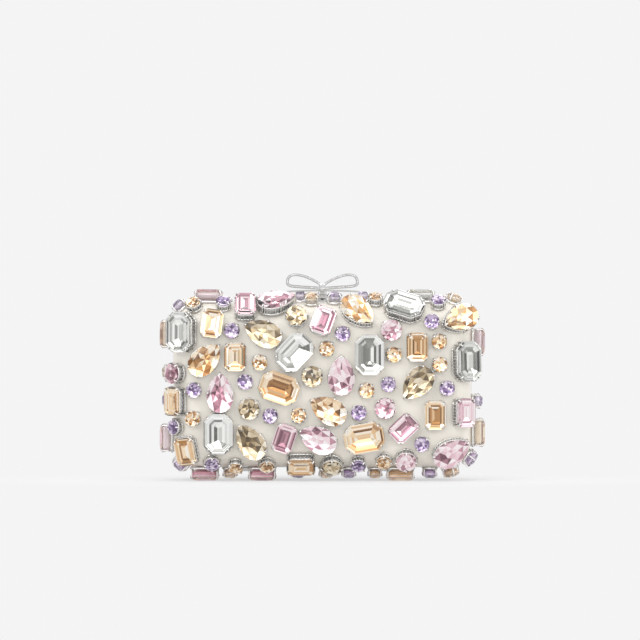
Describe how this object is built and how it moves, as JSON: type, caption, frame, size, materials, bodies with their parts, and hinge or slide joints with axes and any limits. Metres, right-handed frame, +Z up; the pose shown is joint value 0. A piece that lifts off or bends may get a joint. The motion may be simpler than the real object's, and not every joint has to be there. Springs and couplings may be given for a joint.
{
  "type": "box clutch",
  "caption": "Rounded hard-shell evening box that opens on a bottom hinge, covered in claw-set cut stones, with a rocking bow-shaped clasp on top.",
  "frame": {"origin": "centre of the bounding box, at the stones the case stands on", "axes": "+X to the right along the case, +Y towards the back half, +Z up to the bow; the front half faces -Y"},
  "size_m": [0.1788, 0.0672, 0.1141],
  "materials": {
    "ivory_lacquer": "gloss",
    "polished_silver": "polished",
    "silver_settings": "polished",
    "fastener_steel": "satin",
    "lining_satin": "satin",
    "lavender_glass": "gloss",
    "peach_glass": "gloss",
    "rose_glass": "gloss",
    "khaki_glass": "gloss",
    "crystal_glass": "gloss"
  },
  "bodies": {
    "back_half": {"back_shell": "ivory_lacquer", "back_frame": "polished_silver", "back_lining": "lining_satin", "back_face_settings": "silver_settings", "back_top_settings": "silver_settings", "back_bottom_settings": "silver_settings", "back_left_settings": "silver_settings", "back_right_settings": "silver_settings", "back_lavender_stones": "lavender_glass", "back_peach_stones": "peach_glass", "back_rose_stones": "rose_glass", "back_khaki_stones": "khaki_glass", "back_crystal_stones": "crystal_glass", "back_peach_feet": "peach_glass", "back_rose_feet": "rose_glass", "back_hinge_leaves": "polished_silver", "back_leaf_rivets": "fastener_steel", "hinge_pins": "fastener_steel", "slip_pocket": "lining_satin", "clasp_base": "polished_silver", "base_rivets": "fastener_steel", "clasp_pin": "fastener_steel", "return_spring": "fastener_steel"},
    "front_half": {"front_shell": "ivory_lacquer", "front_frame": "polished_silver", "front_lining": "lining_satin", "front_face_settings": "silver_settings", "front_top_settings": "silver_settings", "front_bottom_settings": "silver_settings", "front_left_settings": "silver_settings", "front_right_settings": "silver_settings", "front_lavender_stones": "lavender_glass", "front_peach_stones": "peach_glass", "front_rose_stones": "rose_glass", "front_khaki_stones": "khaki_glass", "front_crystal_stones": "crystal_glass", "front_peach_feet": "peach_glass", "front_rose_feet": "rose_glass", "front_hinge_leaves": "polished_silver", "front_leaf_rivets": "fastener_steel", "keeper": "polished_silver", "keeper_rivet": "fastener_steel"},
    "bow_clasp": {"clasp_rocker": "polished_silver", "bow_loop_left": "polished_silver", "bow_loop_right": "polished_silver", "bow_knot": "polished_silver", "bow_tails": "polished_silver"}
  },
  "joints": [
    {"name": "case_hinge", "type": "hinge", "parent": "back_half", "child": "front_half", "pos_m": [0, 0, 0.0062], "axis": [1, 0, 0], "range_deg": [0, 70], "deforming": ["keeper"]},
    {"name": "clasp_rock", "type": "hinge", "parent": "back_half", "child": "bow_clasp", "pos_m": [0, 0.003, 0.1012], "axis": [-1, 0, 0], "range_deg": [0, 8], "stiffness_Nm_per_rad": 0.02, "springref_deg": -9.74, "deforming": ["return_spring"]}
  ]
}
